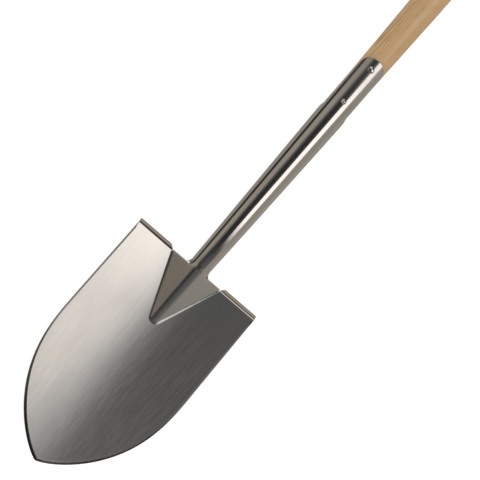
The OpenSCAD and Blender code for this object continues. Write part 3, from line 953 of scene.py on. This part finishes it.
def build_shaft():
    start = BEND_X + 2
    seat = GRIP_X - math.sqrt(GRIP_R ** 2 - SHAFT_TOP_R ** 2)
    run = CONE_END + STRAIGHT_LEN
    profile = [(start, 0.05), (start, cone(start) - 1.5), (start + 1.5, cone(start + 1.5))]
    profile += [(x, cone(x)) for x in np.linspace(start + 4, CONE_END - 8, 30)]
    profile += [(x, SHAFT_R) for x in np.linspace(CONE_END + 6, run - 6, 6)]
    profile += [(x, mix(SHAFT_R, SHAFT_TOP_R, (x - run) / (seat - run)))
                for x in np.linspace(run + 6, seat + 3, 26)]
    profile += [(seat + 3, TENON_R), (GRIP_X + 10, TENON_R)]
    points, faces = lathe(profile, WOOD_TURNS, "X", (0, 0, 0))

    # The tenon's end, trimmed to the crossbar's round and a little proud of it
    proud = 0.2
    rings = ((TENON_R, -0.05), (TENON_R - 0.12, 0.14), (TENON_R - 0.4, proud), (8.0, proud),
             (5.0, proud), (2.0, proud), (0.05, proud))
    faces += ring_faces(len(rings) + 1, WOOD_TURNS, len(points) - WOOD_TURNS)
    for r, height in rings:
        for k in range(WOOD_TURNS):
            a = 2 * math.pi * k / WOOD_TURNS
            y, z = r * math.cos(a), r * math.sin(a)
            x = GRIP_X + math.sqrt(grip_radius(y) ** 2 - z * z) + height
            points.append(np.array([x, y, z]))
    return points, faces


new_object("turned_shaft", *build_shaft(), ash, "ash_shaft", "ash")


def build_grip():
    flat = GRIP_LEN / 2 - GRIP_ROUND
    half = [(flat * u, grip_radius(flat * u)) for u in np.linspace(0, 1, 20)]
    half += [(flat + GRIP_ROUND * math.sin(rad(a)),
              grip_radius(flat) - GRIP_ROUND * (1 - math.cos(rad(a)))) for a in range(6, 91, 6)]
    half += [(GRIP_LEN / 2, 3.0), (GRIP_LEN / 2, 0.05)]
    profile = [(-a, r) for a, r in reversed(half[1:])] + half
    return lathe(profile, WOOD_TURNS, "Y", (GRIP_X, 0, 0))


new_object("turned_grip", *build_grip(), ash_bar, "t_grip", "ash_grip")


def build_wedge():
    """Wedge driven across the tenon; its driven end is trimmed to the grip's round."""
    half, thick = TENON_R - 0.9, 1.6
    ys = np.linspace(-half, half, 13)
    points, faces = [], []
    for y in ys:
        top = GRIP_X + math.sqrt(grip_radius(y) ** 2 - thick ** 2)
        for x, w in ((GRIP_X + 2, 0.4), (GRIP_X + 12, 1.1), (top + 0.25, 1.45), (top + 0.35, 1.3)):
            points += [np.array([x, y, w]), np.array([x, y, -w])]
    per = len(points) // len(ys)
    pairs = range(0, per - 2, 2)
    for i in range(len(ys) - 1):
        a, b = i * per, (i + 1) * per
        for k in pairs:
            faces.append([a + k, b + k, b + k + 2, a + k + 2])
            faces.append([a + k + 1, a + k + 3, b + k + 3, b + k + 1])
        faces.append([a + per - 2, b + per - 2, b + per - 1, a + per - 1])
        faces.append([a, a + 1, b + 1, b])
    for a in (0, (len(ys) - 1) * per):
        faces += [[a + k, a + k + 1, a + k + 3, a + k + 2] for k in pairs]
    return points, faces


new_object("driven_wedge", *build_wedge(), wedge, "tenon_wedge", "dark_wood")


def build_pin():
    top = math.sqrt(GRIP_R ** 2 - PIN_BACK ** 2)
    half = [(0.0, PIN_R), (top + 0.05, PIN_R), (top + 0.22, PIN_R - 0.12), (top + 0.34, PIN_R - 0.5),
            (top + 0.42, PIN_R - 1.3), (top + 0.45, AXIS_GAP)]
    return lathe(there_and_back(half), 40, "Z", (GRIP_X - PIN_BACK, 0, 0))


new_object("cross_pin", *build_pin(), rivet_steel, "grip_pin", "rivet_steel")


# ---------------------------------------------------------------- floor, light and camera
# The view: how far it is turned about Z and rolled about X, what width it takes in, from how far
# away, and the place of the spade at its middle
VIEW_TURN, VIEW_ROLL = rad(-49.2), rad(3.4)
VIEW_WIDE, VIEW_AWAY = 571 * MM, 15.0
VIEW_X, VIEW_Y = 32.6, -15.1
SENSOR = 36


def build_floor():
    mesh = bpy.data.meshes.new("floor")
    half = 40.0
    corners = [(-half, -half, 0), (half, -half, 0), (half, half, 0), (-half, half, 0)]
    mesh.from_pydata(corners, [], [(0, 1, 2, 3)])
    floor = bpy.data.objects.new("floor", mesh)
    bpy.context.scene.collection.objects.link(floor)
    material, tree, shader = nodes_of("pale_floor")
    haze = stretched_noise(tree, (3, 3, 3), 2, 0.5)
    tree.links.new(blend_colour(tree, haze, (0.54, 0.54, 0.54), (0.56, 0.56, 0.56)),
                   shader.inputs["Base Color"])
    shader.inputs["Roughness"].default_value = 0.9
    shader.inputs["Emission Color"].default_value = (1, 1, 1, 1)
    shader.inputs["Emission Strength"].default_value = 0.7
    shader.inputs["Specular IOR Level"].default_value = 0.1
    mesh.materials.append(material)
    floor.visible_glossy = False


BELOW, WARM = (0.37, 0.31, 0.25), (0.40, 0.355, 0.30)
DARK, LINE, BRIGHT = (0.03, 0.03, 0.03), (0.02, 0.02, 0.02), (1.2, 1.15, 1.08)
PANEL = (1.52, 1.45, 1.38)


def reflected_rooms(tree):
    """What each part of the steel reflects, by the roll about X and the lean along X."""
    ray = axes(tree, "Generated")
    roll = math_node(tree, "ARCTAN2", times(tree, ray["Y"], -1.0), ray["Z"])
    roll = plus(tree, roll, VIEW_ROLL)
    lean = math_node(tree, "ARCSINE", ray["X"])
    place = plus(tree, times(tree, roll, 0.5 / math.pi), 0.5)

    def room(*stops):
        """Colours by roll in degrees: 0 is overhead and 90 is level on the -Y side."""
        return ramp(tree, place, [((a + 180) / 360, c) for a, c in stops])

    def rise(value, a, b):
        node = add(tree, "ShaderNodeMapRange", interpolation_type="SMOOTHSTEP",
                   From_Min=rad(a), From_Max=rad(b))
        tree.links.new(value, node.inputs["Value"])
        return node.outputs["Result"]

    # What the socket sees, with the soft box that fades towards the neck
    walls = room((-180, BELOW), (-104, (0.35, 0.33, 0.31)), (-95, LINE), (-80, LINE), (-70, WARM),
                 (-44, WARM), (-26, (0.10, 0.10, 0.10)), (-14, DARK), (50, DARK),
                 (58, (0.345, 0.31, 0.27)), (85, (0.345, 0.31, 0.27)), (115, (0.41, 0.38, 0.34)),
                 (180, BELOW))
    box = times(tree, rise(roll, 17, 24), math_node(tree, "SUBTRACT", 1.0, rise(roll, 49, 57)))
    box = times(tree, box, rise(lean, -8.5, -3.0))
    panel = blend_colour(tree, box, (0.0, 0.0, 0.0), PANEL)
    socket = blend_colour(tree, 1.0, walls, panel, "ADD")

    # What the raised V sees
    neck = room((-180, BELOW), (-100, (0.2, 0.19, 0.18)), (-75, (0.29, 0.24, 0.195)),
                (-56, (0.26, 0.22, 0.18)), (-45, (0.12, 0.115, 0.11)), (-37, (0.05, 0.05, 0.05)),
                (-18, (0.05, 0.05, 0.05)), (-5, (0.11, 0.11, 0.11)), (35, (0.14, 0.14, 0.137)),
                (50, (0.22, 0.21, 0.20)), (70, (0.35, 0.325, 0.295)), (180, BELOW))

    # What the blade sees: one broad soft edge, less bright where it leans forward
    broad = room((-180, BELOW), (-100, (0.2, 0.19, 0.18)), (-60, (0.12, 0.12, 0.118)),
                 (-2, (0.12, 0.12, 0.12)), (3, (0.17, 0.17, 0.17)), (6, (0.30, 0.30, 0.297)),
                 (11, (0.60, 0.60, 0.59)), (16, (0.97, 0.94, 0.92)), (22, (1.28, 1.20, 1.13)),
                 (30, (1.40, 1.31, 1.22)), (50, (1.28, 1.20, 1.13)), (66, (0.6, 0.55, 0.5)),
                 (90, WARM), (180, BELOW))
    ahead = room((-180, BELOW), (-60, (0.15, 0.15, 0.15)), (-4, (0.16, 0.16, 0.16)),
                 (2, (0.22, 0.22, 0.218)), (7, (0.40, 0.395, 0.39)), (12, (0.49, 0.485, 0.48)),
                 (45, (0.50, 0.495, 0.49)), (90, WARM), (180, BELOW))
    blade = blend_colour(tree, rise(lean, 10, 26), broad, ahead)

    # What the folds over the treads see: bright on one side, dark on the other and far ahead
    fold = room((-180, BELOW), (-150, BELOW), (-130, BRIGHT), (-8, BRIGHT),
                (8, DARK), (130, DARK), (150, BELOW), (180, BELOW))
    lit = neck
    for start, end, colour in ((-15, -8, socket), (0, 5, blade), (30, 37, fold), (54, 66, DARK)):
        lit = blend_colour(tree, rise(lean, start, end), lit, colour)
    return lit


def build_light():
    """Two soft lamps, a pale backdrop for the camera, and rooms for the steel to reflect."""
    world = bpy.data.worlds.new("studio")
    bpy.context.scene.world = world
    world.use_nodes = True
    tree = world.node_tree
    tree.nodes.clear()
    out = add(tree, "ShaderNodeOutputWorld")
    rooms = add(tree, "ShaderNodeBackground")
    tree.links.new(reflected_rooms(tree), rooms.inputs["Color"])
    pale = add(tree, "ShaderNodeBackground", Strength=0.95)
    pale.inputs["Color"].default_value = (0.94, 0.95, 0.96, 1)
    path = add(tree, "ShaderNodeLightPath")
    both = add(tree, "ShaderNodeMixShader")
    tree.links.new(path.outputs["Is Camera Ray"], both.inputs["Fac"])
    tree.links.new(rooms.outputs[0], both.inputs[1])
    tree.links.new(pale.outputs[0], both.inputs[2])
    tree.links.new(both.outputs[0], out.inputs["Surface"])
    for name, strength, spread_angle, tilt in (("overhead", 2.2, 120, (0, 0, 0)),
                                               ("side", 0.25, 60, (rad(30), rad(15), 0))):
        lamp = bpy.data.lights.new(name, "SUN")
        lamp.energy = strength
        lamp.angle = rad(spread_angle)
        obj = bpy.data.objects.new(name, lamp)
        obj.rotation_euler = tilt
        obj.visible_glossy = False
        bpy.context.scene.collection.objects.link(obj)


def build_camera():
    """Down on the blade and socket through a long lens, a little from the +Y side."""
    lens = bpy.data.cameras.new("camera")
    lens.sensor_width = SENSOR
    lens.lens = SENSOR * VIEW_AWAY / VIEW_WIDE
    camera = bpy.data.objects.new("camera", lens)
    target = Vector((SHIFT_X + VIEW_X, VIEW_Y, SHIFT_Z)) * MM
    facing = Matrix.Rotation(-VIEW_ROLL, 4, "X") @ Matrix.Rotation(VIEW_TURN, 4, "Z")
    camera.matrix_world = Matrix.Translation(target + facing @ Vector((0, 0, VIEW_AWAY))) @ facing
    bpy.context.scene.collection.objects.link(camera)
    bpy.context.scene.camera = camera


build_floor()
build_light()
build_camera()
scene = bpy.context.scene
scene.view_settings.view_transform = "Standard"
scene.view_settings.look = "None"
